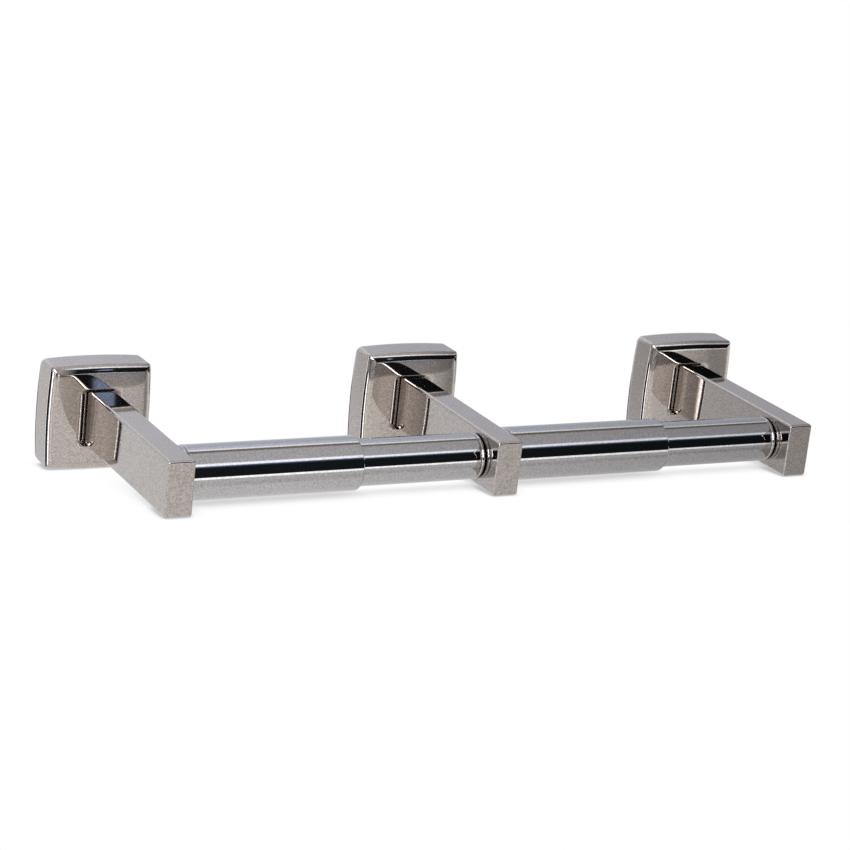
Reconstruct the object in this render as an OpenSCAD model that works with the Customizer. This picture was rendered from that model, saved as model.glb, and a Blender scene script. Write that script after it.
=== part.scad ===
// Twin toilet roll dispenser: three wall posts carry two telescoping spindles.
// X runs along the wall, Y into the wall and Z up. The origin lies on the wall at the
// centre of the middle post. Depths are called "out": the distance from the wall.

/* [Layout] */
// Distance from one post to the next along the wall
post_pitch = 160; // [150:1:200]
// Reach of the arms, from the wall to their front ends
arm_reach = 115; // [100:1:140]
// Distance of the spindle axis behind the front ends of the arms
spindle_setback = 20; // [16:0.5:30]

/* [Flange] */
// Width and height of the flange across the middle of its sides, at the wall
flange_w = 50.8; // [49:0.1:60]
// Depth of the flange, from the wall to the crown of its face
flange_depth = 16.6; // [15.5:0.1:22]
// How far each side bows outwards between its corners
side_bow = 1.3; // [0.6:0.1:2]
// How far each side leans in from the wall to the face
side_lean = 0.7; // [0.3:0.1:1.4]
// How far the face falls from its crown to the middle of its edges
face_crown = 1.1; // [0.6:0.1:1.8]
// Radius of the tight bend where each side turns into the face
edge_r = 1.2; // [0.8:0.1:1.6]
// Radius of the next part of the rolled edge
roll_r = 2.8; // [2:0.1:3.4]
// Radius of the long, soft part of the rolled edge that runs out into the face
soft_r = 6; // [4:0.5:7]
// How much of each corner is rounded away, along the diagonal
corner_trim = 1.1; // [0.6:0.1:2]
// Sheet thickness of the flange
flange_t = 0.8; // [0.6:0.1:1.2]
// Radius of the dips in the face, one on each side of the arm
dip_r = 6; // [4:0.5:8]
// Slope of these dips where they meet the arm, in degrees
dip_slope = 35; // [20:1:40]

/* [Arm] */
// Width of the arm at its front end
arm_front_w = 12.5; // [12:0.1:18]
// Height of the arm at its front end
arm_front_h = 26; // [20:0.1:30]
// Width of the arm where it leaves the flange
arm_root_w = 13.3; // [12:0.1:20]
// Height of the arm where it leaves the flange
arm_root_h = 27; // [20:0.1:30]
// Wall thickness of the arm
arm_t = 1.2; // [0.8:0.1:2]
// Radius of the rounded edges of the arm's front face
arm_edge = 1.2; // [0.5:0.1:1.6]
// Gap round the arm where it passes through the flange
arm_gap = 0.25; // [0.1:0.05:0.5]

/* [Mounting] */
// Sheet thickness of the wall plate and the bracket
plate_t = 1.5; // [1.2:0.1:2]
// Width of the wall plate
plate_w = 36; // [30:0.5:40]
// Width of the hook and the tab on the wall plate
lug_w = 14; // [10:0.5:18]
// Radius of the wall plate's corners
plate_corner = 3; // [1:0.5:6]
// Width of the bracket
bracket_w = 24; // [22:0.5:30]
// Distance from the wall to the front face of the bracket
bracket_out = 12; // [11:0.1:13]
// Distance from the wall to the set screw and to the back of the hook's lip
screw_out = 6.3; // [5.8:0.1:6.8]
// Distance between the two screw holes, one above the other
hole_pitch = 20; // [16:0.5:22]
// Radius of the screw holes
hole_r = 2.4; // [2:0.1:3]
// Inner radius of every bend in the folded steel
bend_r = 1; // [0.6:0.1:1.5]
// Radius of the set screw
set_screw_r = 2; // [1.5:0.1:2.5]
// Length of the set screw
set_screw_len = 6; // [5.6:0.1:6.5]
// Length of the set screw that stands above the bracket's foot
screw_above = 2.5; // [1.6:0.1:3]
// Chamfer at the tip of the set screw
tip_chamfer = 0.8; // [0.3:0.1:1.2]
// Radius of the set screw's hexagon socket, across its corners
socket_r = 1.1; // [0.8:0.1:1.3]
// Depth of the set screw's socket
socket_depth = 2.4; // [1.5:0.1:3]

/* [Spindle] */
// Radius of the outer sleeve
outer_r = 12.5; // [12:0.1:15]
// Radius of the inner sleeve
inner_r = 10.75; // [10:0.05:11]
// Wall thickness of both sleeves
sleeve_t = 1.2; // [0.8:0.05:1.3]
// Distance from the left arm to the open mouth of the outer sleeve
mouth_at = 85; // [75:1:95]
// Length of inner sleeve and guide hidden inside the outer sleeve
overlap = 24; // [18:0.5:30]
// Radius of the rounded rims of the sleeves
rim_r = 0.7; // [0.3:0.1:0.9]
// Thickness of the visible rim of each end cap
cap_t = 1.8; // [1.2:0.1:3]
// How far each end cap is pressed into its sleeve
cap_depth = 8; // [6:0.5:12]
// Radius of the pins
pin_r = 4; // [3:0.1:5]
// How far each pin reaches into its arm
pin_depth = 5; // [3:0.1:5.5]
// Chamfer at the tips of the pins
pin_chamfer = 0.8; // [0.3:0.1:1.5]
// Wall thickness of the moulded end caps and guides
moulded_t = 1.2; // [0.8:0.1:2]
// Thickness of the guide's sliding head
guide_t = 3; // [2:0.1:5]
// Wire diameter of the spring
wire_d = 1.4; // [1:0.1:1.6]
// Number of turns of the spring
spring_turns = 10; // [6:1:12]
// Gap between the two turns that lie close at each end of the spring
closed_gap = 0.5; // [0.45:0.05:0.8]

/* [Fits] */
// Gap between each end cap and its arm
end_gap = 0.4; // [0.3:0.05:1]
// Radial clearance of the pins in the arms
pin_fit = 0.06; // [0.02:0.01:0.1]
// Radial clearance of the sliding pieces of a spindle
slide_fit = 0.1; // [0.05:0.01:0.15]
// Radial clearance of the set screw in its thread
thread_fit = 0.05; // [0.02:0.01:0.1]
// Gap between the end of the set screw and the narrow end of the flange's side
screw_gap = 0.4; // [0.3:0.05:0.8]
// Gap round the set screw where its key passes through the flange
key_gap = 0.5; // [0.2:0.1:1]
// Gap inside and outside the turns of the spring
spring_gap = 1.1; // [0.6:0.1:1.5]

/* [Hidden] */
POSTS = ["left", "centre", "right"];
SPINDLES = ["left", "right"];
POST_PIECES = ["wall_plate", "bracket", "flange", "arm", "set_screw"];
SPINDLE_PIECES = ["outer_sleeve", "outer_cap", "inner_sleeve", "inner_cap", "guide", "spring"];

STEEL = [0.67, 0.64, 0.62];
PLATE_GREY = [0.6, 0.61, 0.62];
NYLON = [0.85, 0.84, 0.8];
SPRING_GREY = [0.45, 0.46, 0.48];
past = 1; // how far a cut runs past the face that it opens
fine = 96; // segments of a round piece
broad = 180; // segments of the large radii of the flange
arc_step = 15; // degrees between the points of a small rounding

// Places that several pieces share
spindle_out = arm_reach - spindle_setback;
corner_half = flange_w / 2 - side_bow;
bow_r = radius_of(corner_half, side_bow);
crown_r = radius_of(corner_half, face_crown);
// Rolled edge, from the side inwards: slopes at both ends of each step, and its radius
ROLL = [
    [87, 72, edge_r], [72, 58, edge_r], [58, 44, roll_r], [44, 30, roll_r],
    [30, 21, soft_r], [21, 13, soft_r], [13, 5, soft_r]
];
roll_w = total([for (step = ROLL) step_in(step)]);
roll_drop = total([for (step = ROLL) step_up(step)]);
// Height at which the rolled edge runs out into the crowned face
face_edge = corner_half - side_lean - roll_w;
wall_end = flange_depth - crown_r + sqrt(pow(crown_r, 2) - pow(face_edge, 2)) - roll_drop;
lug_height = flange_w / 2 - side_lean - flange_t - screw_gap - set_screw_len;
shelf_under = lug_height + plate_t;
foot_top = -(lug_height + screw_above);

// Radius of an arc from half its chord and its rise
function radius_of(half, rise) = (half * half + rise * rise) / (2 * rise);
function total(list, i = 0) = i < len(list) ? list[i] + total(list, i + 1) : 0;
function step_in(step) = step[2] * (sin(step[0]) - sin(step[1]));
function step_up(step) = step[2] * (cos(step[1]) - cos(step[0]));

// Half the width and half the height of an arm at a distance from the wall
function along_arm(root, front, out) =
    (front + (root - front) * (arm_reach - out) / (arm_reach - flange_depth)) / 2;
function arm_half_w(out) = along_arm(arm_root_w, arm_front_w, out);
function arm_half_h(out) = along_arm(arm_root_h, arm_front_h, out);

// Points of a quarter circle, for the rounded rim of a turned profile
function quarter(centre, r, from) =
    [for (a = [from : arc_step : from + 90]) centre + r * [cos(a), sin(a)]];

// Turns a side view, drawn as [out, up], into a solid of a given width along the wall
module from_side(width) {
    mirror([0, 1, 0]) rotate([90, 0, 90]) linear_extrude(width, center = true) children();
}

// Turns a front view, drawn as [along, up], into a solid that stands out from the wall
module from_front(out, thick) {
    translate([0, -out, 0]) rotate([90, 0, 0]) linear_extrude(thick) children();
}

// A quarter of a bend in folded sheet, side view, open towards the way that turn gives
module bend(centre, turn) {
    translate(centre) rotate(turn) intersection() {
        difference() {
            circle(bend_r + plate_t, $fn = fine);
            circle(bend_r, $fn = fine);
        }
        square(bend_r + plate_t);
    }
}

module rounded_plate(w, h, r) {
    difference() {
        square([w, h], center = true);
        for (x = [-1, 1], y = [-1, 1])
            translate([x * (w / 2 - r), y * (h / 2 - r)]) difference() {
                translate([min(x, 0) * 2 * r, min(y, 0) * 2 * r]) square(2 * r);
                circle(r, $fn = fine);
            }
    }
}

module at_post(i) {
    translate([(i - 1) * post_pitch, 0, 0]) children();
}

// Stamped plate, screwed to the wall. A hook at its top carries the bracket, and the
// tab at its bottom takes the thrust of the set screw.
module wall_plate(i) {
    face_h = 2 * (lug_height - plate_t - bend_r);
    hook_out = screw_out + plate_t;
    lip_up = lug_height + bend_r;
    color(PLATE_GREY) at_post(i) {
        difference() {
            from_front(0, plate_t) rounded_plate(plate_w, face_h, plate_corner);
            for (z = [-1, 1])
                translate([0, past, z * hole_pitch / 2])
                    rotate([90, 0, 0]) cylinder(r = hole_r, h = plate_t + 2 * past, $fn = fine);
        }
        from_side(lug_w) {
            bend([plate_t + bend_r, face_h / 2], 90);
            translate([plate_t + bend_r, face_h / 2 + bend_r])
                square([hook_out - 2 * (plate_t + bend_r), plate_t]);
            bend([hook_out - plate_t - bend_r, lip_up], -90);
            translate([hook_out - plate_t, lip_up]) square([plate_t, plate_t + bend_r]);
        }
        from_side(lug_w) {
            bend([plate_t + bend_r, -face_h / 2], 180);
            translate([plate_t + bend_r, -lug_height])
                square([bracket_out - 2 * (plate_t + bend_r), plate_t]);
        }
    }
}

// Folded strap inside the flange, welded to the root of the arm. Its slotted shelf hangs
// on the hook of the wall plate, and its foot is tapped for the set screw.
module bracket(i) {
    bend_out = bracket_out - plate_t - bend_r;
    shelf_back = plate_t + bend_r;
    slot_from = screw_out - bend_r - arm_gap;
    slot_to = screw_out + plate_t + arm_gap;
    color(PLATE_GREY) at_post(i) difference() {
        from_side(bracket_w) {
            translate([bracket_out - plate_t, foot_top + bend_r])
                square([plate_t, shelf_under - plate_t - bend_r - foot_top - bend_r]);
            bend([bend_out, shelf_under - plate_t - bend_r], 0);
            translate([shelf_back, shelf_under - plate_t])
                square([bend_out - shelf_back, plate_t]);
            bend([bend_out, foot_top + bend_r], -90);
            translate([shelf_back, foot_top - plate_t])
                square([bend_out - shelf_back, plate_t]);
        }
        translate([-lug_w / 2 - arm_gap, -slot_to, shelf_under - plate_t - past])
            cube([lug_w + 2 * arm_gap, slot_to - slot_from, plate_t + 2 * past]);
        translate([0, -screw_out, foot_top - plate_t - past])
            cylinder(r = set_screw_r + thread_fit, h = plate_t + 2 * past, $fn = fine);
    }
}

// One bowed and leaning side of the flange, as a slice of a very large turned disc. Its
// rim is the side itself, then the edge that rolls over into the face.
module side_disc(inset, back) {
    roll = [
        for (n = [0 : len(ROLL)])
            [
                bow_r - side_lean - inset - total([for (k = [0 : 1 : n - 1]) step_in(ROLL[k])]),
                wall_end - inset + total([for (k = [0 : 1 : n - 1]) step_up(ROLL[k])])
            ]
    ];
    top = roll[len(ROLL)] + flange_w * [-1, tan(ROLL[len(ROLL) - 1][1])];
    rotate([90, 0, 0]) translate([flange_w / 2 - bow_r, 0, 0])
        rotate_extrude($fn = broad)
            polygon(concat([[0, back], [bow_r - inset, back]], roll, [top, [0, top.y]]));
}

// Outer form of the flange, or the hollow inside it when inset by the sheet thickness
module flange_form(inset, back) {
    corner_r = corner_half * sqrt(2) - corner_trim - inset;
    intersection() {
        side_disc(inset, back);
        rotate([0, 90, 0]) side_disc(inset, back);
        rotate([0, 180, 0]) side_disc(inset, back);
        rotate([0, 270, 0]) side_disc(inset, back);
        translate([0, crown_r - flange_depth, 0]) rotate([90, 0, 0])
            sphere(crown_r - inset, $fn = broad);
        translate([0, -back, 0]) rotate([90, 0, 0])
            cylinder(r = corner_r, h = flange_depth - back, $fn = fine);
    }
}

// Space of the two dips beside the arm, or that space grown by the sheet thickness. It
// lies outside an arc that runs from the face towards the arm on each side.
module dips(grow) {
    arm_side = arm_half_w(flange_depth) + arm_gap;
    middle = arm_side + dip_r * sin(dip_slope);
    dip_from = flange_depth - pow(middle, 2) / (2 * crown_r);
    curve = [
        for (a = [0 : dip_slope / 4 : dip_slope])
            [middle, dip_r - dip_from] - (dip_r - grow) * [sin(a), cos(a)]
    ];
    other = [for (n = [len(curve) - 1 : -1 : 0]) [-curve[n].x, curve[n].y]];
    over = -flange_depth - past;
    linear_extrude(arm_root_h + 2 * (arm_gap + grow), center = true)
        polygon(concat([[middle, over]], curve, other, [[-middle, over]]));
}

// Pressed cover of the post, open at the wall, with a hole for the arm in its crowned
// face and a small hole underneath for the key of the set screw. The face dips towards
// the arm on both sides of it.
module flange(i) {
    color(STEEL) at_post(i) difference() {
        flange_form(0, 0);
        difference() {
            flange_form(flange_t, -past);
            dips(flange_t);
        }
        dips(0);
        arm_form(arm_gap, bracket_out - plate_t, flange_depth + past);
        translate([0, -screw_out, -flange_w])
            cylinder(r = set_screw_r + key_gap, h = flange_w / 2, $fn = fine);
    }
}

// Half of the arm's outline in one view, from its root to its front, with its edge rounded
function arm_edge_points(root_half, front_half, from, to, edge) = [
    [from, root_half],
    for (a = edge > 0 ? [90 : -2 * arc_step : 0] : [0])
        [to - edge, front_half - edge] + edge * [cos(a), sin(a)]
];

// Tapering box of the arm between two distances from the wall, grown or shrunk all round
module arm_form(grow, from, to, edge = 0) {
    wide = arm_edge_points(arm_half_w(from) + grow, arm_half_w(to) + grow, from, to, edge);
    high = arm_edge_points(arm_half_h(from) + grow, arm_half_h(to) + grow, from, to, edge);
    height = arm_root_h + arm_front_h;
    intersection() {
        linear_extrude(height, center = true) polygon(concat(
            [for (p = wide) [p.y, -p.x]],
            [for (n = [len(wide) - 1 : -1 : 0]) [-wide[n].y, -wide[n].x]]
        ));
        from_side(height) polygon(concat(
            high, [for (n = [len(high) - 1 : -1 : 0]) [high[n].x, -high[n].y]]
        ));
    }
}

// Hollow arm, open at its root and closed at its front, with a hole for each spindle pin
module arm(i) {
    reach = arm_root_w + arm_front_w;
    color(STEEL) at_post(i) difference() {
        arm_form(0, bracket_out, arm_reach, arm_edge);
        arm_form(-arm_t, bracket_out - past, arm_reach - arm_t);
        translate([i == 0 ? 0 : -reach, -spindle_out, 0]) rotate([0, 90, 0])
            cylinder(r = pin_r + pin_fit, h = i == 1 ? 2 * reach : reach, $fn = fine);
    }
}

// Hexagon socket set screw: its tip bears on the tab of the wall plate
module set_screw(i) {
    shank = set_screw_len - tip_chamfer;
    tip_r = set_screw_r - tip_chamfer;
    color(SPRING_GREY) at_post(i) translate([0, -screw_out, -lug_height - set_screw_len])
        difference() {
            union() {
                cylinder(r = set_screw_r, h = shank, $fn = fine);
                translate([0, 0, shank])
                    cylinder(r1 = set_screw_r, r2 = tip_r, h = tip_chamfer, $fn = fine);
            }
            translate([0, 0, -past]) cylinder(r = socket_r, h = past + socket_depth, $fn = 6);
        }
}

// Spindle lengths, measured from the face of the arm on the left
bay = post_pitch - 2 * arm_half_w(spindle_out);
outer_from = end_gap + cap_t;
inner_from = mouth_at - overlap + guide_t;
inner_to = bay - outer_from;
outer_bore = outer_r - sleeve_t;
inner_bore = inner_r - sleeve_t;
guide_r = outer_bore - slide_fit;
coil_r = guide_r - spring_gap - wire_d / 2;
spigot_r = coil_r - wire_d / 2 - spring_gap;
spring_from = outer_from + cap_depth;
spring_to = mouth_at - overlap;

// Stands a turned profile, drawn as [radius, length], on a spindle axis
module at_spindle(i) {
    translate([(i - 1) * post_pitch + arm_half_w(spindle_out), -spindle_out, 0])
        rotate([0, 90, 0]) children();
}

// Larger tube. Its mouth is rolled in, to guide the inner sleeve and stop the guide.
module outer_sleeve(i) {
    lip_r = inner_r + slide_fit;
    color(STEEL) at_spindle(i) rotate_extrude($fn = fine) polygon(concat(
        [[outer_bore, outer_from]],
        quarter([outer_r - rim_r, outer_from + rim_r], rim_r, -90),
        quarter([outer_r - rim_r, mouth_at - rim_r], rim_r, 0),
        [
            [lip_r, mouth_at],
            [lip_r, mouth_at - sleeve_t],
            [outer_bore, mouth_at - 2 * sleeve_t]
        ]
    ));
}

// Smaller tube, which slides into the larger one
module inner_sleeve(i) {
    color(STEEL) at_spindle(i) rotate_extrude($fn = fine) polygon(concat(
        [[inner_bore, inner_from], [inner_r, inner_from]],
        quarter([inner_r - rim_r, inner_to - rim_r], rim_r, 0),
        [[inner_bore, inner_to]]
    ));
}

// End cap as a turned profile that starts at its pin's tip: the pin runs in the arm, the
// rounded rim shows between arm and sleeve, and the plug is pressed into the sleeve.
module cap(rim, bore, spigot) {
    edge = min(rim_r, cap_t / 2);
    plug_to = outer_from + cap_depth;
    hollow_r = spigot_r - moulded_t;
    rotate_extrude($fn = fine) polygon(concat(
        [
            [0, -pin_depth],
            [pin_r - pin_chamfer, -pin_depth],
            [pin_r, pin_chamfer - pin_depth],
            [pin_r, end_gap]
        ],
        quarter([rim - edge, end_gap + edge], edge, -90),
        quarter([rim - edge, outer_from - edge], edge, 0),
        [
            [bore, outer_from],
            [bore, plug_to],
            [spigot_r, plug_to],
            [spigot_r, plug_to + spigot],
            [hollow_r, plug_to + spigot],
            [hollow_r, outer_from],
            [0, outer_from]
        ]
    ));
}

module outer_cap(i) {
    color(STEEL) at_spindle(i) cap(outer_r - slide_fit, outer_bore, cap_depth);
}

module inner_cap(i) {
    color(STEEL) at_spindle(i) translate([0, 0, bay]) rotate([180, 0, 0])
        cap(inner_r - slide_fit, inner_bore, 0);
}

// Plastic piston on the hidden end of the inner sleeve: its head slides in the outer
// sleeve, its shank is pressed into the inner one, and the spring bears on it.
module guide(i) {
    head_from = inner_from - guide_t;
    bore = spigot_r - moulded_t;
    color(NYLON) at_spindle(i) rotate_extrude($fn = fine) polygon([
        [bore, head_from],
        [guide_r, head_from],
        [guide_r, inner_from],
        [inner_bore, inner_from],
        [inner_bore, inner_from + cap_depth],
        [bore, inner_from + cap_depth]
    ]);
}

// Compression spring round the spigot of the outer cap, between its plug and the guide.
// The first and the last turn lie close, as on a spring with closed ends.
module spring(i) {
    sides = 6;
    per_turn = 12;
    seat = wire_d / 2 + slide_fit;
    from = spring_from + seat;
    to = spring_to - seat;
    closed = wire_d + closed_gap;
    open = (to - from - 2 * closed) / (spring_turns - 2);
    function rise(t) =
        t < 1 ? closed * t
        : t > spring_turns - 1 ? to - from - closed * (spring_turns - t)
        : closed + open * (t - 1);
    rings = [for (n = [0 : spring_turns * per_turn]) n / per_turn];
    points = [
        for (t = rings) for (s = [0 : sides - 1])
            let (a = 360 * t, b = 360 * s / sides, r = coil_r + wire_d / 2 * cos(b))
                [r * cos(a), r * sin(a), from + rise(t) + wire_d / 2 * sin(b)]
    ];
    line = [for (t = rings) [coil_r * cos(360 * t), coil_r * sin(360 * t), rise(t)]];
    apart = [
        for (n = [0 : len(line) - 1]) for (m = [n + per_turn / 2 : len(line) - 1])
            norm(line[m] - line[n])
    ];
    echo(least_gap_between_turns = min(apart) - wire_d);
    last = (len(rings) - 1) * sides;
    faces = concat(
        [[for (s = [0 : sides - 1]) s]],
        [
            for (n = [0 : len(rings) - 2]) for (s = [0 : sides - 1])
                let (a = n * sides + s, b = n * sides + (s + 1) % sides)
                    each [[a, a + sides, b + sides], [a, b + sides, b]]
        ],
        [[for (s = [sides - 1 : -1 : 0]) last + s]]
    );
    color(SPRING_GREY) at_spindle(i) polyhedron(points, faces);
}

for (i = [0 : 2]) {
    wall_plate(i);
    bracket(i);
    flange(i);
    arm(i);
    set_screw(i);
}
for (i = [0 : 1]) {
    outer_sleeve(i);
    outer_cap(i);
    inner_sleeve(i);
    inner_cap(i);
    guide(i);
    spring(i);
}
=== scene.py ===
# Twin toilet roll dispenser: the finished surfaces of its posts and spindles, set in the
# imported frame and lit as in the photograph. Lengths are written in millimetres times MM.
import math

import bmesh
import bpy
from mathutils import Matrix, Vector


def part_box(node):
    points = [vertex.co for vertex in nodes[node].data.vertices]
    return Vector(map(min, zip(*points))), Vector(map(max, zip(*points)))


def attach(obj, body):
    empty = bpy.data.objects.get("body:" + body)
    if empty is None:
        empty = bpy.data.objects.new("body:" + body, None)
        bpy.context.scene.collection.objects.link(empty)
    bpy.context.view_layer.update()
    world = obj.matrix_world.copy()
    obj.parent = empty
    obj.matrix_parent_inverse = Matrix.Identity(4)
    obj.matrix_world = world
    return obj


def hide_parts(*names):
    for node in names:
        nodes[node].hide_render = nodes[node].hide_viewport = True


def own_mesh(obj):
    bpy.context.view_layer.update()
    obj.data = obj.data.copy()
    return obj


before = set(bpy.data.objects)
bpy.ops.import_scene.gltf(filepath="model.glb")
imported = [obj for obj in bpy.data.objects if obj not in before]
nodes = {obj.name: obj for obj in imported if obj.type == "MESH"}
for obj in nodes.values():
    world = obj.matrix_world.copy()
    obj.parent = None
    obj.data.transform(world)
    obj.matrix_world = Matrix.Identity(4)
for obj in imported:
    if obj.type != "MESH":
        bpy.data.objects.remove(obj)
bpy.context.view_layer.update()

# Camera. It stands to the left of the dispenser and above it, and is turned a little about
# its own axis. Its focal length is given in pixels of the photograph's frame.
MM = 0.001
camera_stand = Vector((-579.7, -1085.9, 370.6)) * MM
camera_heading = math.radians(-28.83)
camera_tilt = math.radians(72.6)
camera_roll = math.radians(6.29)
photo_width_px = 850
focal_px = 2619.8
sensor_mm = 36
farthest_seen = 20

lens = bpy.data.cameras.new("camera")
lens.sensor_width = sensor_mm
lens.lens = sensor_mm * focal_px / photo_width_px
lens.clip_end = farthest_seen
camera = bpy.data.objects.new("camera", lens)
camera.matrix_world = (
    Matrix.Translation(camera_stand)
    @ Matrix.Rotation(camera_heading, 4, "Z")
    @ Matrix.Rotation(camera_tilt, 4, "X")
    @ Matrix.Rotation(camera_roll, 4, "Z")
)
bpy.context.scene.collection.objects.link(camera)
bpy.context.scene.camera = camera
bpy.context.scene.view_settings.view_transform = "Standard"


# Wall plates and brackets. Both are blanked from 1.5 mm stainless strip and folded: the
# plate is screwed to the wall and the bracket, welded to the arm, hangs on it. They keep
# the mill finish, with rolling marks along the strip and dulled, slightly stained faces.
class Wire:
    """A socket that takes part in sums: each operator adds the Math node that it stands for."""

    def __init__(self, board, socket):
        self.board = board
        self.socket = socket

    def output(self, name):
        return Wire(self.board, self.socket.node.outputs[name])

    def maths(self, operation, first, second=0.0):
        return self.board.node("ShaderNodeMath", {"operation": operation}, {0: first, 1: second})

    def __add__(self, other):
        return self.maths("ADD", self, other)

    def __sub__(self, other):
        return self.maths("SUBTRACT", self, other)

    def __rsub__(self, other):
        return self.maths("SUBTRACT", other, self)

    def __mul__(self, other):
        return self.maths("MULTIPLY", self, other)

    def __truediv__(self, other):
        return self.maths("DIVIDE", self, other)

    def __pow__(self, other):
        return self.maths("POWER", self, other)

    def __abs__(self):
        return self.maths("ABSOLUTE", self)

    def least(self, other):
        return self.maths("MINIMUM", self, other)

    def most(self, other):
        return self.maths("MAXIMUM", self, other)

    def spread(self, low, high):
        """Lays a value between 0 and 1 out from low to high."""
        return self * (high - low) + low

    __radd__ = __add__
    __rmul__ = __mul__


class Board:
    """The nodes of one finish, or of the surroundings."""

    def __init__(self, owner):
        owner.use_nodes = True
        self.tree = owner.node_tree
        self.tree.nodes.clear()

    def node(self, kind, settings=None, sockets=None, out=0):
        made = self.tree.nodes.new(kind)
        for name, value in (settings or {}).items():
            if name == "stops":
                self.set_stops(made.color_ramp.elements, value)
            else:
                setattr(made, name, value)
        for name, value in (sockets or {}).items():
            if isinstance(value, Wire):
                self.tree.links.new(value.socket, made.inputs[name])
            else:
                made.inputs[name].default_value = value
        return Wire(self, made.outputs[out]) if len(made.outputs) else None

    def set_stops(self, elements, stops):
        while len(elements) < len(stops):
            elements.new(0.5)
        for element, (place, colour) in zip(elements, stops):
            element.position = place
            element.color = (*colour, 1)

    def noise(self, place, per_metre, detail=2.0):
        """Mottling between 0 and 1, about 0.5 on average, with that many spots to the metre."""
        return self.node(
            "ShaderNodeTexNoise", None, {"Vector": place, "Scale": per_metre, "Detail": detail}
        )

    def stretched(self, place, along):
        """Coordinates in which a pattern is drawn out along one axis."""
        return self.node("ShaderNodeMapping", None, {"Vector": place, "Scale": along})

    def mix(self, share, low, high):
        return self.node(
            "ShaderNodeMix", {"data_type": "RGBA"}, {0: share, 6: (*low, 1), 7: (*high, 1)}, out=2
        )


def metal(name, dark, light, tone, roughness, relief, depth):
    """A bare or plated metal. The three callables draw its tone, roughness and relief."""
    finish = bpy.data.materials.new(name)
    board = Board(finish)
    place = board.node("ShaderNodeTexCoord", out="Object")
    surface = {
        "Base Color": board.mix(tone(board, place), dark, light),
        "Metallic": 1.0,
        "Roughness": roughness(board, place),
        "Normal": board.node(
            "ShaderNodeBump", None, {"Height": relief(board, place), "Distance": depth}
        ),
    }
    shader = board.node("ShaderNodeBsdfPrincipled", None, surface)
    board.node("ShaderNodeOutputMaterial", None, {"Surface": shader})
    return finish


def clothe(node, finish):
    """The CAD node keeps its form and wears this finish."""
    for holder in nodes[node].material_slots:
        holder.material = finish


strip_marks = (6, 900, 900)
rolled_share = 0.7
stain_spots = 90
stain_share = 0.5
strip_dark = (0.40, 0.40, 0.41)
strip_light = (0.60, 0.60, 0.60)
strip_dullness = (0.24, 0.44)
strip_mark_depth = 0.02 * MM


def strip_tone(board, place):
    rolled = board.noise(board.stretched(place, strip_marks), 1.0)
    return rolled * rolled_share + board.noise(place, stain_spots) * stain_share


def strip_roughness(board, place):
    return board.noise(board.stretched(place, strip_marks), 1.0).spread(*strip_dullness)


def strip_relief(board, place):
    return board.noise(board.stretched(place, strip_marks), 2.0)


mill_steel = metal(
    "mill_finish_steel", strip_dark, strip_light,
    strip_tone, strip_roughness, strip_relief, strip_mark_depth,
)
POSTS = ["left", "centre", "right"]
for side in POSTS:
    clothe(f"{side}_wall_plate", mill_steel)
    clothe(f"{side}_bracket", mill_steel)


# Set screws. Each is a turned hexagon socket screw in plain steel, driven up through the
# bracket's foot from a small hole under the flange. Fine turning marks run round it.
turning_marks = (60, 60, 4000)
dull_spots = 700
turned_dark = (0.22, 0.22, 0.23)
turned_light = (0.36, 0.36, 0.37)
turned_tones = (0.1, 0.9)
turned_dullness = (0.22, 0.37)
turning_mark_depth = 0.02 * MM


def turned_tone(board, place):
    return board.noise(board.stretched(place, turning_marks), 1.0).spread(*turned_tones)


def turned_roughness(board, place):
    return board.noise(place, dull_spots).spread(*turned_dullness)


screw_steel = metal(
    "turned_steel", turned_dark, turned_light,
    turned_tone, turned_roughness, turned_tone, turning_mark_depth,
)
for side in POSTS:
    clothe(f"{side}_set_screw", screw_steel)


# Flanges. Each is pressed from 0.8 mm stainless sheet and polished bright: a square cover
# whose four sides bow outwards, lean in and tuck under at the wall. Its crowned face rolls
# softly over at the edges and dips on both sides of the arm, which it fits closely.
sheet = 0.8 * MM
side_bow = 1.0 * MM
side_lean = 0.3 * MM
crown_out = 16.3 * MM
crown_half = 20.3 * MM
crown_fall = 0.62 * MM
crown_power = 3
edge_fall = 0.05 * MM
edge_power = 12
roll_arcs = [(4.0, 38.0, 5.6 * MM), (38.0, 62.0, 2.8 * MM), (62.0, 87.3, 1.2 * MM)]
roll_step = 3.0
front_corner_r = 1.5 * MM
inner_corner_r = 0.3 * MM
back_corner_r = 3.2 * MM
hem_r = 5.0 * MM
hem_turn = 21
hem_step = 7
side_steps = 44
corner_steps = 12
wall_rings = 8
face_rings = 14
arm_gap = 0.08 * MM
arm_edge_r = 1.3 * MM
dip_r = 6.0 * MM
dip_slope = 30
dip_step = 5
dip_slant = 1.2 * MM
dip_corner_r = 3.4 * MM
lip_width = 0.4 * MM
lip_fall = 0.1 * MM
mouth_depth = 1.2 * MM
arm_root_half = Vector((6.65, 13.5)) * MM
key_hole_r = 2.5 * MM
key_hole_out = 6.3 * MM
key_hole_cut = 6.0 * MM
drill_sides = 64
flange_sharp_above = 40
flat_face_weight = 80
grain_spots = 1700
grain_contrast = 3.2
cloud_spots = 45
cloud_contrast = 0.3
smear_spots = 130
steel_dullness = (0.02, 0.05)
haze_spots = 1100
haze = 0.02
wave_spots = 60
steel_dark = (0.42, 0.38, 0.352)
steel_light = (0.64, 0.59, 0.558)
steel_wave_depth = 0.03 * MM


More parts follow.
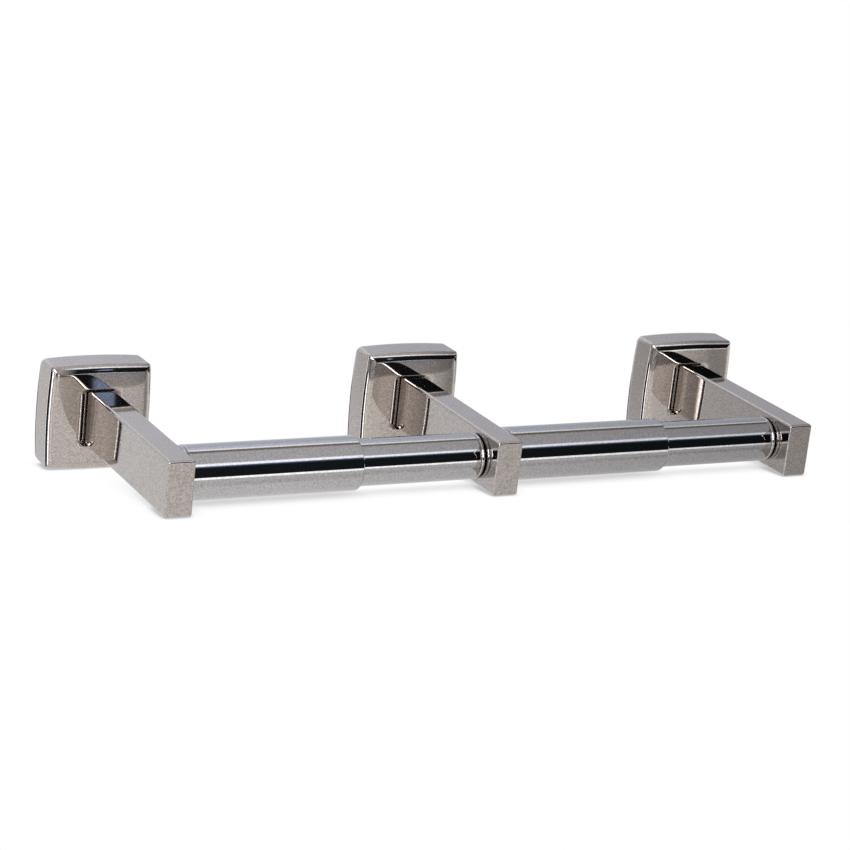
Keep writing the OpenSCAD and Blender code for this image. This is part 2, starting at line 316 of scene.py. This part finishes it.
def rounded_outline(half_x, half_z, bow, corner_r):
    """Points of a bowed rectangle with round corners, from the left end of its top side."""
    points = []
    for quarter in range(4):
        along_half, off_half = (half_x, half_z) if quarter % 2 == 0 else (half_z, half_x)
        corner_along, corner_off = along_half - bow, off_half - bow
        slope = math.atan2(2 * bow, corner_along)
        shift = corner_r / (math.cos(slope) + math.sin(slope))
        reach = corner_along - shift + corner_r * math.sin(slope)
        run = []
        for n in range(side_steps + 1):
            along = reach * (2 * n / side_steps - 1)
            run.append((along, off_half - bow * (along / corner_along) ** 2))
        for n in range(1, corner_steps):
            turn = slope + (math.pi / 2 - 2 * slope) * n / corner_steps
            run.append((
                corner_along - shift + corner_r * math.sin(turn),
                corner_off - shift + corner_r * math.cos(turn),
            ))
        turned = Matrix.Rotation(-quarter * math.pi / 2, 2)
        points += [turned @ Vector(point) for point in run]
    return points


def share_of_sides(number):
    """1 for a point on the left or right side of such an outline, 0 for its top or bottom."""
    quarter, step = divmod(number, side_steps + corner_steps)
    turned = max(0, step - side_steps) / corner_steps
    return turned if quarter % 2 == 0 else 1 - turned


def crown(point):
    """Distance of the face from the wall at a point of the front view."""
    across, up = abs(point.x / crown_half), abs(point.y / crown_half)
    return crown_out - crown_fall * across ** crown_power - edge_fall * up ** edge_power


def roll_profile():
    """The rolled edge of the face: inset from the side wall, and fall below the face."""
    profile = [(0.0, 0.0)]
    for start, end, radius in roll_arcs:
        steps = math.ceil((end - start) / roll_step)
        for n in range(steps):
            a = math.radians(start + (end - start) * n / steps)
            b = math.radians(start + (end - start) * (n + 1) / steps)
            across, fall = profile[-1]
            profile.append((
                across + radius * (math.sin(b) - math.sin(a)),
                fall + radius * (math.cos(a) - math.cos(b)),
            ))
    whole = profile[-1][0]
    return [(whole - across, fall) for across, fall in profile]


def flange_rings(middle, half):
    """Rings of the flange's outer skin, from its hem at the wall to the rim round the arm."""
    def square(inset, corner_r):
        return rounded_outline(half - inset, half - inset, side_bow, corner_r)

    def ring(points, outs):
        return [Vector((middle + p.x, -out, p.y)) for p, out in zip(points, outs)]

    profile = roll_profile()
    roll_whole, roll_fall = profile[0][0], profile[-1][1]
    face_edge = square(side_lean + roll_whole, inner_corner_r)
    edge_outs = [crown(p) for p in face_edge]
    rings = []
    hem_out = hem_r * math.sin(math.radians(hem_turn))
    for turn in range(hem_turn, -1, -hem_step):
        back = math.radians(turn)
        points = square(hem_r * (1 - math.cos(back)), back_corner_r)
        rings.append(ring(points, [hem_out - hem_r * math.sin(back)] * len(points)))
    for n in range(1, wall_rings):
        share = n / wall_rings
        corner_r = back_corner_r + (front_corner_r - back_corner_r) * share
        outs = [hem_out + (out - roll_fall - hem_out) * share for out in edge_outs]
        rings.append(ring(square(side_lean * share, corner_r), outs))
    for inset, fall in reversed(profile):
        corner_r = inner_corner_r + (front_corner_r - inner_corner_r) * (1 - inset / roll_whole)
        points = square(side_lean + inset, corner_r)
        rings.append(ring(points, [out - fall for out in edge_outs]))
    root = arm_root_half + Vector((arm_gap, arm_gap))
    arc_width = dip_r * math.sin(math.radians(dip_slope))
    arc_fall = dip_r * (1 - math.cos(math.radians(dip_slope)))
    dip_width = arc_width + dip_slant
    dip_fall = arc_fall + dip_slant * math.tan(math.radians(dip_slope))
    dip_edge = rounded_outline(root.x + dip_width, root.y + lip_width, 0, dip_corner_r)
    rim = rounded_outline(root.x, root.y, 0, arm_edge_r + arm_gap)
    for n in range(1, face_rings + 1):
        points = [a.lerp(b, n / face_rings) for a, b in zip(face_edge, dip_edge)]
        rings.append(ring(points, [crown(p) for p in points]))
    dip_profile = [
        (dip_r * math.sin(math.radians(turn)), dip_r * (1 - math.cos(math.radians(turn))))
        for turn in range(dip_step, dip_slope + 1, dip_step)
    ]
    for across, down in dip_profile + [(dip_width, dip_fall)]:
        points = [a.lerp(b, across / dip_width) for a, b in zip(dip_edge, rim)]
        falls = [
            down / dip_fall * (lip_fall + (dip_fall - lip_fall) * share_of_sides(n))
            for n in range(len(points))
        ]
        rings.append(ring(points, [crown(p) - fall for p, fall in zip(dip_edge, falls)]))
    rings.append([point + Vector((0, mouth_depth, 0)) for point in rings[-1]])
    return rings


def open_primitive(name):
    """Goes into edit mode on the primitive that was just added, with all of it selected."""
    piece = bpy.context.object
    piece.name = piece.data.name = name
    bpy.ops.object.mode_set(mode="EDIT")
    bpy.ops.mesh.select_all(action="SELECT")
    return piece


def drawn_from_rings(name, rings):
    """A skin made by extruding a ring of edges again and again, each time to its new place."""
    bpy.ops.object.select_all(action="DESELECT")
    bpy.ops.mesh.primitive_circle_add(vertices=len(rings[0]), radius=1)
    piece = open_primitive(name)
    mesh = bmesh.from_edit_mesh(piece.data)
    spoke = mesh.verts.layers.int.new("spoke")
    mesh.verts.ensure_lookup_table()
    for number, vertex in enumerate(mesh.verts):
        vertex[spoke] = number
        vertex.co = rings[0][number]
    bmesh.update_edit_mesh(piece.data)
    for ring in rings[1:]:
        bpy.ops.mesh.extrude_edges_move()
        mesh = bmesh.from_edit_mesh(piece.data)
        spoke = mesh.verts.layers.int["spoke"]
        for vertex in mesh.verts:
            if vertex.select:
                vertex.co = ring[vertex[spoke]]
        bmesh.update_edit_mesh(piece.data)
    bpy.ops.mesh.select_all(action="SELECT")
    bpy.ops.mesh.normals_make_consistent(inside=False)
    bpy.ops.object.mode_set(mode="OBJECT")
    piece.data.attributes.remove(piece.data.attributes["spoke"])
    return piece


def apply_modifier(piece, kind, **settings):
    modifier = piece.modifiers.new(kind.lower(), kind)
    for name, value in settings.items():
        setattr(modifier, name, value)
    bpy.context.view_layer.objects.active = piece
    bpy.ops.object.modifier_apply(modifier=modifier.name)


def drill(piece, centre, axis, radius, depth):
    """Cuts a round hole, about the given centre and along x, y or z."""
    bpy.ops.object.select_all(action="DESELECT")
    turned = {"x": (0, math.pi / 2, 0), "y": (math.pi / 2, 0, 0), "z": (0, 0, 0)}[axis]
    bpy.ops.mesh.primitive_cylinder_add(
        vertices=drill_sides, radius=radius, depth=depth, location=centre, rotation=turned
    )
    cutter = bpy.context.object
    apply_modifier(piece, "BOOLEAN", object=cutter, operation="DIFFERENCE", solver="EXACT")
    bpy.data.objects.remove(cutter)


def polish(piece, sharp_above):
    """Shades the piece smooth but for its sharp edges, with its flat faces kept flat."""
    bpy.ops.object.select_all(action="DESELECT")
    piece.select_set(True)
    bpy.context.view_layer.objects.active = piece
    bpy.ops.object.shade_smooth_by_angle(angle=math.radians(sharp_above))
    apply_modifier(piece, "WEIGHTED_NORMAL", keep_sharp=True, weight=flat_face_weight)


def fit(piece, finish, body, node):
    """The piece wears the finish and rides in the place of its CAD node."""
    piece.data.materials.clear()
    piece.data.materials.append(finish)
    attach(piece, body)
    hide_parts(node)


def polished_tone(board, place):
    grain = board.noise(place, grain_spots, 1.0) - 0.5
    clouds = board.noise(place, cloud_spots) - 0.5
    return grain * grain_contrast + clouds * cloud_contrast + 0.5


def polished_roughness(board, place):
    smears = board.noise(place, smear_spots).spread(*steel_dullness)
    return smears + board.noise(place, haze_spots, 1.0) * haze


def pressed_relief(board, place):
    return board.noise(place, wave_spots, 1.0)


polished_steel = metal(
    "polished_steel", steel_dark, steel_light,
    polished_tone, polished_roughness, pressed_relief, steel_wave_depth,
)
for side in POSTS:
    low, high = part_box(f"{side}_flange")
    middle = (low.x + high.x) / 2
    flange = drawn_from_rings(f"{side}_flange_cover", flange_rings(middle, high.z))
    apply_modifier(flange, "SOLIDIFY", thickness=sheet, offset=-1)
    key_centre = Vector((middle, -key_hole_out, -high.z))
    drill(flange, key_centre, "z", key_hole_r, key_hole_cut)
    polish(flange, flange_sharp_above)
    fit(flange, polished_steel, "posts", f"{side}_flange")


# Arms. Each is a hollow rectangular arm of polished stainless steel, a little narrower and
# lower at its front than at its root. Its front is closed, its long edges are softer than
# the upright ones, and holes in the sides that face a spindle take the spindle's pins.
arm_wall = 1.2 * MM
upright_edge_r = 0.5 * MM
arm_root_out = 12.0 * MM
flange_face_out = 16.6 * MM
arm_front_half = Vector((6.25, 13.0)) * MM
arm_bevel_steps = 8
arm_sharp_above = 30
pin_hole_r = 4.06 * MM
pin_hole_cut = 5.0 * MM
pin_hole_sides = {"left": [1], "centre": [-1, 1], "right": [-1]}
spindle_out = 95.0 * MM


def arm_half(out, reach):
    """Half the width and half the height of an arm at a distance from the wall."""
    share = (reach - out) / (reach - flange_face_out)
    return arm_front_half.lerp(arm_root_half, share)


def make_arm(name, middle, reach):
    bpy.ops.object.select_all(action="DESELECT")
    length = reach - arm_root_out
    bpy.ops.mesh.primitive_cube_add(
        size=1,
        location=(middle, -(reach + arm_root_out) / 2, 0),
        scale=(2 * arm_front_half.x, length, 2 * arm_front_half.y),
    )
    arm = bpy.context.object
    bpy.ops.object.transform_apply(location=True, rotation=True, scale=True)
    open_primitive(name)
    bpy.ops.mesh.select_all(action="DESELECT")
    mesh = bmesh.from_edit_mesh(arm.data)
    root = arm_half(arm_root_out, reach)
    for face in mesh.faces:
        face.select = face.normal.y > 0.5
    bmesh.update_edit_mesh(arm.data)
    bpy.ops.transform.resize(
        value=(root.x / arm_front_half.x, 1, root.y / arm_front_half.y),
        center_override=(middle, -arm_root_out, 0),
    )
    bpy.ops.mesh.delete(type="ONLY_FACE")
    mesh = bmesh.from_edit_mesh(arm.data)
    weight = mesh.edges.layers.float.new("bevel_weight_edge")
    for edge in mesh.edges:
        ends = [vertex.co for vertex in edge.verts]
        upright = abs(ends[0].z - ends[1].z) > arm_front_half.y
        if not edge.is_boundary:
            edge[weight] = upright_edge_r / arm_edge_r if upright else 1.0
    bmesh.update_edit_mesh(arm.data)
    bpy.ops.object.mode_set(mode="OBJECT")
    apply_modifier(
        arm, "BEVEL", width=arm_edge_r, segments=arm_bevel_steps, limit_method="WEIGHT"
    )
    apply_modifier(arm, "SOLIDIFY", thickness=arm_wall, offset=-1)
    return arm


for side in POSTS:
    low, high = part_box(f"{side}_arm")
    middle = (low.x + high.x) / 2
    arm = make_arm(f"{side}_arm_shell", middle, -low.y)
    for way in pin_hole_sides[side]:
        centre = Vector((middle + way * arm_front_half.x, -spindle_out, 0))
        drill(arm, centre, "x", pin_hole_r, pin_hole_cut)
    polish(arm, arm_sharp_above)
    fit(arm, polished_steel, "posts", f"{side}_arm")


# Outer sleeves. Each is a 25 mm drawn tube, bright plated. Its open mouth is rolled in,
# which guides the inner sleeve and keeps the guide from sliding out.
sleeve_wall = 1.2 * MM
outer_r = 12.5 * MM
inner_r = 10.75 * MM
slide_fit = 0.1 * MM
outer_rim_r = 0.7 * MM
lathe_steps = 144
weld_reach = 0.001 * MM
tube_sharp_above = 35
plate_grain_contrast = 3.0
plate_dark = (0.42, 0.412, 0.42)
plate_light = (0.61, 0.60, 0.61)
polishing_marks = (40, 400, 400)
plate_dullness = (0.02, 0.04)
drawing_marks = (8, 90, 90)
drawing_mark_depth = 0.006 * MM


def arc(centre_r, centre_at, radius, start, steps=5):
    """A quarter circle of a profile, drawn as (radius, place along the spindle)."""
    points = []
    for n in range(steps + 1):
        a = math.radians(start + 90 * n / steps)
        points.append((centre_r + radius * math.cos(a), centre_at + radius * math.sin(a)))
    return points


def turned_on_lathe(name, profile):
    """A closed profile is laid out over the spindle's axis and spun about it."""
    bpy.ops.object.select_all(action="DESELECT")
    bpy.ops.mesh.primitive_circle_add(vertices=len(profile), radius=1)
    piece = open_primitive(name)
    mesh = bmesh.from_edit_mesh(piece.data)
    mesh.verts.ensure_lookup_table()
    for vertex, (radius, along) in zip(mesh.verts, profile):
        vertex.co = Vector((along, -spindle_out, radius))
    bmesh.update_edit_mesh(piece.data)
    bpy.ops.mesh.spin(
        steps=lathe_steps, angle=2 * math.pi, center=(0, -spindle_out, 0), axis=(1, 0, 0)
    )
    bpy.ops.mesh.select_all(action="SELECT")
    bpy.ops.mesh.remove_doubles(threshold=weld_reach)
    bpy.ops.mesh.dissolve_degenerate(threshold=weld_reach)
    bpy.ops.mesh.normals_make_consistent(inside=False)
    bpy.ops.object.mode_set(mode="OBJECT")
    return piece


def plated_tone(board, place):
    return (board.noise(place, grain_spots, 1.0) - 0.5) * plate_grain_contrast + 0.5


def plated_roughness(board, place):
    return board.noise(board.stretched(place, polishing_marks), 1.0).spread(*plate_dullness)


def drawn_relief(board, place):
    return board.noise(board.stretched(place, drawing_marks), 1.0, 1.0)


bright_plate = metal(
    "bright_plated_tube", plate_dark, plate_light,
    plated_tone, plated_roughness, drawn_relief, drawing_mark_depth,
)
SPINDLES = ["left", "right"]
for side in SPINDLES:
    low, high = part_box(f"{side}_outer_sleeve")
    bore = outer_r - sleeve_wall
    lip = inner_r + slide_fit
    profile = [(bore, low.x)]
    profile += arc(outer_r - outer_rim_r, low.x + outer_rim_r, outer_rim_r, -90)
    profile += arc(outer_r - outer_rim_r, high.x - outer_rim_r, outer_rim_r, 0)
    profile += [(lip, high.x), (lip, high.x - sleeve_wall), (bore, high.x - 2 * sleeve_wall)]
    sleeve = turned_on_lathe(f"{side}_outer_tube", profile)
    polish(sleeve, tube_sharp_above)
    fit(sleeve, bright_plate, f"{side}_outer", f"{side}_outer_sleeve")


# Inner sleeves. Each is a 21.5 mm tube of the same make, which slides into the outer one.
# Its free end is rounded over towards the end cap.
inner_rim_r = 0.9 * MM
for side in SPINDLES:
    low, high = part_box(f"{side}_inner_sleeve")
    bore = inner_r - sleeve_wall
    profile = [(bore, low.x), (inner_r, low.x)]
    profile += arc(inner_r - inner_rim_r, high.x - inner_rim_r, inner_rim_r, 0)
    profile += [(bore, high.x)]
    sleeve = turned_on_lathe(f"{side}_inner_tube", profile)
    polish(sleeve, tube_sharp_above)
    fit(sleeve, bright_plate, f"{side}_inner", f"{side}_inner_sleeve")


# End caps. Each is a bright plated moulding pressed into its sleeve: its rounded rim
# shows between the sleeve and the arm, and its pin runs in the arm's hole.
pin_r = 4.0 * MM
pin_chamfer = 0.8 * MM
pin_in_arm = 5.0 * MM
arm_clearance = 0.4 * MM
cap_rim_width = 1.8 * MM
cap_edge_r = 0.7 * MM
cap_depth = 8.0 * MM
moulded_wall = 1.2 * MM
spigot_r = 7.6 * MM
outer_spigot = 8.0 * MM
inner_spigot = 0.001 * MM  # next to none, as no spring sits on the inner cap


def cap_profile(tip, way, rim, bore, spigot):
    """From the pin's tip to the plug, along the spindle in the given way."""
    rim_from = tip + way * (pin_in_arm + arm_clearance)
    rim_to = rim_from + way * cap_rim_width
    plug_to = rim_to + way * cap_depth
    hollow = spigot_r - moulded_wall
    edge_centre_r = rim - cap_edge_r
    front_edge = arc(edge_centre_r, 0.0, cap_edge_r, 0)
    profile = [(0, tip), (pin_r - pin_chamfer, tip), (pin_r, tip + way * pin_chamfer)]
    profile += [(pin_r, rim_from)]
    profile += [
        (radius, rim_from + way * (cap_edge_r - along)) for radius, along in reversed(front_edge)
    ]
    profile += [(radius, rim_to - way * (cap_edge_r - along)) for radius, along in front_edge]
    profile += [(bore, rim_to), (bore, plug_to), (spigot_r, plug_to)]
    profile += [(spigot_r, plug_to + way * spigot), (hollow, plug_to + way * spigot)]
    profile += [(hollow, rim_to), (0, rim_to)]
    return profile


for side in SPINDLES:
    low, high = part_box(f"{side}_outer_cap")
    profile = cap_profile(low.x, 1, outer_r - slide_fit, outer_r - sleeve_wall, outer_spigot)
    cap = turned_on_lathe(f"{side}_outer_end_cap", profile)
    polish(cap, tube_sharp_above)
    fit(cap, bright_plate, f"{side}_outer", f"{side}_outer_cap")
    low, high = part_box(f"{side}_inner_cap")
    profile = cap_profile(high.x, -1, inner_r - slide_fit, inner_r - sleeve_wall, inner_spigot)
    cap = turned_on_lathe(f"{side}_inner_end_cap", profile)
    polish(cap, tube_sharp_above)
    fit(cap, bright_plate, f"{side}_inner", f"{side}_inner_cap")


# Guides. Each is a moulded nylon piston on the hidden end of the inner sleeve. Its milky
# surface is matt, with the slight mottling of the mould.
mould_spots = 500
mould_mark_depth = 0.02 * MM
nylon_dark = (0.66, 0.64, 0.58)
nylon_light = (0.75, 0.73, 0.68)
nylon_dullness = (0.4, 0.55)
nylon = bpy.data.materials.new("moulded_nylon")
board = Board(nylon)
place = board.node("ShaderNodeTexCoord", out="Object")
mottle = board.noise(place, mould_spots)
shader = board.node(
    "ShaderNodeBsdfPrincipled", None,
    {
        "Base Color": board.mix(mottle, nylon_dark, nylon_light),
        "Roughness": mottle.spread(*nylon_dullness),
        "Normal": board.node(
            "ShaderNodeBump", None, {"Height": mottle, "Distance": mould_mark_depth}
        ),
    },
)
board.node("ShaderNodeOutputMaterial", None, {"Surface": shader})
for side in SPINDLES:
    clothe(f"{side}_guide", nylon)


# Springs. Each is coiled from 1.4 mm spring wire with closed ends, and sits round the
# outer cap's spigot.
wire_r = 0.7 * MM
coil_r = 9.4 * MM
coil_turns = 10
closed_rise = 1.9 * MM
wire_sides = 12
rings_a_turn = 36
spring_sharp_above = 50
wire_dark = (0.22, 0.225, 0.235)
wire_light = (0.34, 0.345, 0.355)
wire_mark_depth = 0.01 * MM


def coil_point(turn, start, end):
    """Centre of the coil after so many turns, and the way from there to the wire."""
    rise = end - start - 2 * closed_rise
    if turn < 1:
        along = closed_rise * turn
    elif turn > coil_turns - 1:
        along = end - start - closed_rise * (coil_turns - turn)
    else:
        along = closed_rise + rise * (turn - 1) / (coil_turns - 2)
    a = 2 * math.pi * turn
    centre = Vector((start + along, -spindle_out, 0))
    return centre, Vector((0, -math.sin(a), math.cos(a)))


spring_wire = metal(
    "drawn_spring_wire", wire_dark, wire_light,
    turned_tone, turned_roughness, turned_tone, wire_mark_depth,
)
for side in SPINDLES:
    low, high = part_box(f"{side}_spring")
    rings = []
    for n in range(coil_turns * rings_a_turn + 1):
        centre, outward = coil_point(n / rings_a_turn, low.x + wire_r, high.x - wire_r)
        ring = []
        for k in range(wire_sides):
            b = 2 * math.pi * k / wire_sides
            off = outward * (coil_r + wire_r * math.cos(b)) + Vector((wire_r * math.sin(b), 0, 0))
            ring.append(centre + off)
        rings.append(ring)
    spring = drawn_from_rings(f"{side}_spring_coil", rings)
    bpy.ops.object.mode_set(mode="EDIT")
    bpy.ops.mesh.select_all(action="DESELECT")
    bpy.ops.mesh.select_non_manifold()
    bpy.ops.mesh.edge_face_add()
    bpy.ops.mesh.select_all(action="SELECT")
    bpy.ops.mesh.normals_make_consistent(inside=False)
    bpy.ops.object.mode_set(mode="OBJECT")
    polish(spring, spring_sharp_above)
    fit(spring, spring_wire, f"{side}_outer", f"{side}_spring")
    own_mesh(spring)


# Studio table. The dispenser lies on a white table as it was laid for the photograph, on the
# lower edges of its flanges and arms, so the table slopes a little in the dispenser's frame.
# A soft shadow leans towards the viewer, and a tight one hugs the edges near the table.
table_back = Vector((0, -14.6, -24.75)) * MM
table_front = Vector((0, -115.0, -13.05)) * MM
table_size = 3.0
soft_reach = 10.0 * MM
soft_lean = {"X": -0.37, "Y": -0.67, "Z": 0.64}
soft_power = 2.4
soft_strength = 1.35
tight_reach = 2.8 * MM
tight_power = 1.3
tight_strength = 0.6
shadow_samples = 16
darkest_shadow = 0.5
paper_white = (0.8, 0.8, 0.8, 1)
pure_white = (1, 1, 1, 1)
slope = math.atan2(table_front.z - table_back.z, table_back.y - table_front.y)
bpy.ops.object.select_all(action="DESELECT")
bpy.ops.mesh.primitive_plane_add(
    size=table_size, location=table_back, rotation=(-slope, 0, 0)
)
table = bpy.context.object
table.name = "table"
table.visible_glossy = False
card = bpy.data.materials.new("white_table")
board = Board(card)
lean = board.node("ShaderNodeCombineXYZ", None, soft_lean)
soft_open = board.node(
    "ShaderNodeAmbientOcclusion", {"samples": shadow_samples},
    {"Distance": soft_reach, "Normal": lean}, out="AO",
)
tight_open = board.node(
    "ShaderNodeAmbientOcclusion", {"samples": shadow_samples}, {"Distance": tight_reach}, out="AO"
)
soft_shadow = (1.0 - soft_open) ** soft_power * soft_strength
tight_shadow = (1.0 - tight_open) ** tight_power * tight_strength
shadow = (soft_shadow + tight_shadow).least(darkest_shadow)
lit = board.node(
    "ShaderNodeEmission", None, {"Color": pure_white, "Strength": 1.0 - shadow}
)
paper = board.node("ShaderNodeBsdfDiffuse", None, {"Color": paper_white})
path = board.node("ShaderNodeLightPath", out="Is Camera Ray")
seen = board.node("ShaderNodeMixShader", None, {0: path, 1: paper, 2: lit})
clear = board.node("ShaderNodeBsdfTransparent", None, {"Color": pure_white})
under = board.node("ShaderNodeNewGeometry", out="Backfacing")
both = board.node("ShaderNodeMixShader", None, {0: under, 1: seen, 2: clear})
board.node("ShaderNodeOutputMaterial", None, {"Surface": both})
table.data.materials.append(card)


# Studio cards. The polished metal mirrors grey and white cards all round, a black one in
# front of it between two bright strips, and another at its left with bright edges. They are
# drawn on the world, which only mirrored rays see, by the angle at which they stand.
def turned(angle):
    """An angle in degrees as the share of a whole turn that the ramps read."""
    return (angle + 180) / 360


def band(angle, colour):
    """A stop of a ramp. 0 is straight out from the wall, and 90 is overhead or at the left."""
    return turned(angle), colour


black_card = (0.012, 0.014, 0.016)
over_and_under = [
    band(-180, (0.80, 0.81, 0.86)),
    band(-95, (0.80, 0.78, 0.775)),
    band(-14, (0.80, 0.78, 0.77)),
    band(-12, (1.9, 1.9, 1.95)),
    band(-5.5, (2.0, 2.0, 2.05)),
    band(-4.5, black_card),
    band(33, black_card),
    band(37, (0.08, 0.11, 0.17)),
    band(40.5, (0.40, 0.50, 0.72)),
    band(41.5, (1.7, 1.75, 1.9)),
    band(49, (1.6, 1.65, 1.75)),
    band(52, (0.64, 0.63, 0.65)),
    band(99, (0.62, 0.60, 0.62)),
    band(102, (0.30, 0.27, 0.24)),
    band(111, (0.24, 0.21, 0.18)),
    band(114, (1.4, 1.38, 1.38)),
    band(119, (1.3, 1.3, 1.35)),
    band(122, (0.76, 0.80, 0.91)),
    band(180, (0.80, 0.82, 0.89)),
]
front_left = [
    band(-15, (0.80, 0.78, 0.77)),
    band(-13, black_card),
    band(8, black_card),
    band(10, (7.0, 7.0, 7.2)),
    band(44, (7.0, 7.0, 7.2)),
    band(46, (0.64, 0.63, 0.65)),
]
round_the_left = [
    band(44.5, (1.05, 1.03, 1.02)),
    band(45.5, (5.0, 5.0, 5.1)),
    band(50, (4.6, 4.6, 4.7)),
    band(51, (0.60, 0.70, 0.90)),
    band(59, (0.45, 0.55, 0.75)),
    band(61, black_card),
    band(99, black_card),
    band(102, (2.4, 2.4, 2.5)),
    band(118, (1.6, 1.6, 1.65)),
    band(129, (0.45, 0.45, 0.46)),
    band(138, (0.42, 0.42, 0.43)),
    band(144, (0.53, 0.535, 0.55)),
    band(151, (0.76, 0.77, 0.80)),
    band(157, (0.80, 0.81, 0.83)),
    band(162, (0.85, 0.87, 0.92)),
]
blue_card_colour = (0.40, 0.57, 0.88, 1)
grey_card_colour = (0.50, 0.49, 0.50, 1)
world = bpy.data.worlds.new("studio")
bpy.context.scene.world = world
board = Board(world)
direction = board.node("ShaderNodeTexCoord", out="Generated")
sideways = board.node("ShaderNodeSeparateXYZ", None, {"Vector": direction}, out="X")
inwards, height = sideways.output("Y"), sideways.output("Z")
off_axis = abs(sideways)


def rising(value, start, per_unit):
    """0 below the start, then rising to 1."""
    return ((value - start) * per_unit).most(0.0).least(1.0)


def falling(value, end, per_unit):
    """Falling from 1, to 0 at the end and above it."""
    return ((end - value) * per_unit).most(0.0).least(1.0)


def between(value, start, end, per_unit):
    """1 between two edges of a card and 0 outside them."""
    return rising(value, start, per_unit) * falling(value, end, per_unit)


def cards(stops, turn):
    return board.node("ShaderNodeValToRGB", {"stops": stops}, {"Fac": turn})


def laid_over(share, under, over):
    return board.node("ShaderNodeMix", {"data_type": "RGBA"}, {0: share, 6: under, 7: over}, out=2)


pitch = height.maths("ARCTAN2", height, 0.0 - inwards) / (2 * math.pi) + 0.5
heading = sideways.maths("ARCTAN2", 0.0 - sideways, 0.0 - inwards) / (2 * math.pi) + 0.5

blue_left, blue_right, blue_low, blue_high = 0.337, 0.372, turned(15), turned(25)
ahead_side, ahead_front, ahead_low = 0.26, -0.5, turned(-6)
front_left_from, front_left_to, front_left_low = -0.43, -0.08, turned(-16)
left_from, left_to, left_height = turned(44), turned(164), 0.6
blue_card = (
    between(sideways, blue_left, blue_right, 200.0) * between(pitch, blue_low, blue_high, 150.0)
)
straight_ahead = (
    falling(off_axis, ahead_side, 10.0) * falling(inwards, ahead_front, 10.0)
    * rising(pitch, ahead_low, 150.0)
)
at_front_left = (
    rising(sideways, front_left_from, 50.0) * falling(sideways, front_left_to, 30.0)
    * falling(inwards, 0.0, 10.0) * rising(pitch, front_left_low, 300.0)
)
at_left = (
    rising(heading, left_from, 300.0) * falling(heading, left_to, 100.0)
    * falling(abs(height), left_height, 5.0)
)
all_round = laid_over(blue_card, cards(over_and_under, pitch), blue_card_colour)
all_round = laid_over(straight_ahead, all_round, grey_card_colour)
all_round = laid_over(at_front_left, all_round, cards(front_left, pitch))
all_round = laid_over(at_left, all_round, cards(round_the_left, heading))


# Light on the cards. It is brightest in the middle of the studio and falls off to both sides,
# by another amount low in front, low at the left and high behind. A gap at the back is unlit.
def fading(level, per_unit):
    """A brightness that is this level in the middle and less to the sides."""
    return level - off_axis * per_unit


def blended(share, under, over):
    """One brightness laid over another."""
    return under + share * (over - under)


low_end, front_end, shallow_from, low_left_end = -0.08, -0.6, turned(-28), -0.30
back_from, high_from = 0.6, 0.05
gap_side, gap_from, gap_low, gap_high = 0.3, 0.8, -0.36, -0.26
middle_level = fading(2.16, 2.7).least(1.05)
side_level = fading(-4.5, -6.0).least(1.2).most(0.5)
deep_level = fading(1.5, 1.6).least(fading(2.65, 3.85)).least(1.02).most(0.4)
shallow_level = fading(1.36, 1.04).least(fading(2.8, 3.9)).least(1.06).most(0.45)
low_left_level = fading(2.65, 3.1).least(1.3)
high_back_level = fading(1.28, 1.1)
left_card_level = 1.0
low_front = falling(inwards, front_end, 10.0) * falling(height, low_end, 20.0)
shallow = rising(pitch, shallow_from, 100.0)
low_left = low_front * falling(sideways, low_left_end, 30.0)
high_back = rising(inwards, back_from, 10.0) * rising(height, high_from, 20.0)
level = middle_level.most(side_level)
level = blended(low_front, level, blended(shallow, deep_level, shallow_level))
level = blended(low_left, level, low_left_level)
level = blended(high_back, level, high_back_level)
level = blended(at_front_left.most(at_left), level, left_card_level)
back_gap = (
    rising(inwards, gap_from, 40.0) * falling(off_axis, gap_side, 30.0)
    * between(height, gap_low, gap_high, 50.0)
)
card_light = board.node(
    "ShaderNodeBackground", None, {"Color": all_round, "Strength": level * (1.0 - back_gap)}
)
plain_light = board.node("ShaderNodeBackground", None, {"Color": paper_white, "Strength": 1.0})
backdrop = board.node("ShaderNodeBackground", None, {"Color": pure_white, "Strength": 1.0})
mirrored = board.node("ShaderNodeLightPath", out="Is Glossy Ray")
lighting = board.node("ShaderNodeMixShader", None, {0: mirrored, 1: plain_light, 2: card_light})
eye = mirrored.output("Is Camera Ray")
seen = board.node("ShaderNodeMixShader", None, {0: eye, 1: lighting, 2: backdrop})
board.node("ShaderNodeOutputWorld", None, {"Surface": seen})


# Softboxes. Two weak square lamps stand above and in front of the dispenser, one at each
# side, turned to its middle. The polished metal doesn't mirror them.
softbox_size = 0.6
softboxes = [
    ("softbox_left", Vector((-0.7, -0.5, 0.9)), 4),
    ("softbox_right", Vector((0.8, -0.7, 0.8)), 3),
]
for name, stand, watts in softboxes:
    lamp = bpy.data.lights.new(name, "AREA")
    lamp.size = softbox_size
    lamp.energy = watts
    softbox = bpy.data.objects.new(name, lamp)
    softbox.matrix_world = (
        Matrix.Translation(stand) @ stand.to_track_quat("Z", "Y").to_matrix().to_4x4()
    )
    softbox.visible_glossy = False
    bpy.context.scene.collection.objects.link(softbox)
